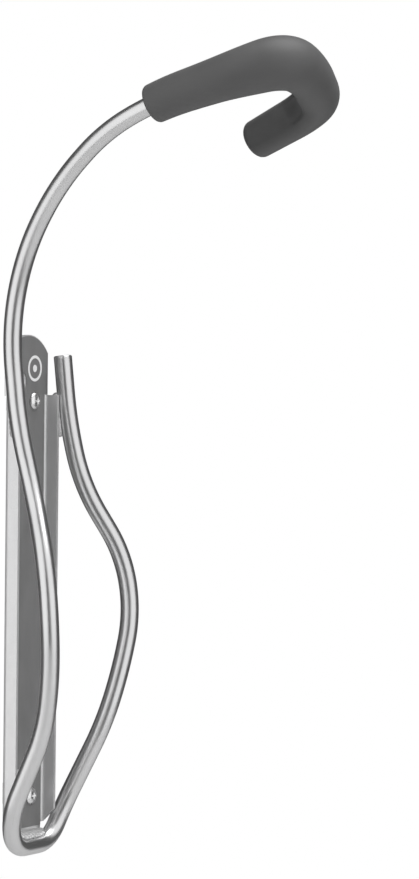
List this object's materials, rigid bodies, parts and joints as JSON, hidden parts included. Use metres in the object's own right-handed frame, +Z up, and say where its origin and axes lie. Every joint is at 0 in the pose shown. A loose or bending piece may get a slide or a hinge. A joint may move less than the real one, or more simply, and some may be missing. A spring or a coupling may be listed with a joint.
{
  "type": "bicycle wall rack",
  "caption": "Wall rack for a bicycle wheel: a bent steel rod welded to a screw-on wall channel, with a rubber-covered hook above and a bowed cradle for the tyre below.",
  "frame": {"origin": "on the wall plane, at the back of the channel, on its centre line, midway in height between the two wall screws", "axes": "+X to the right along the wall when facing it, +Y into the wall, +Z up"},
  "size_m": [0.0695, 0.1602, 0.2854],
  "materials": {
    "rod_steel": "satin plated, drawn along its length",
    "sleeve_rubber": "matte moulded",
    "channel_paint": "smooth silver paint",
    "label_film": "matte film",
    "mark_ink": "screen-printed ink",
    "weld_metal": "silver paint over a rippled bead",
    "screw_zinc": "bright zinc plate",
    "plug_nylon": "moulded nylon"
  },
  "bodies": {
    "root": {"hook_rod": "rod_steel", "hook_sleeve": "sleeve_rubber", "wall_channel": "channel_paint", "face_label": "label_film", "wheel_mark": "mark_ink", "weld_left": "weld_metal", "weld_right": "weld_metal", "weld_foot": "weld_metal", "wall_screws": "screw_zinc", "wall_plugs": "plug_nylon"}
  },
  "joints": []
}
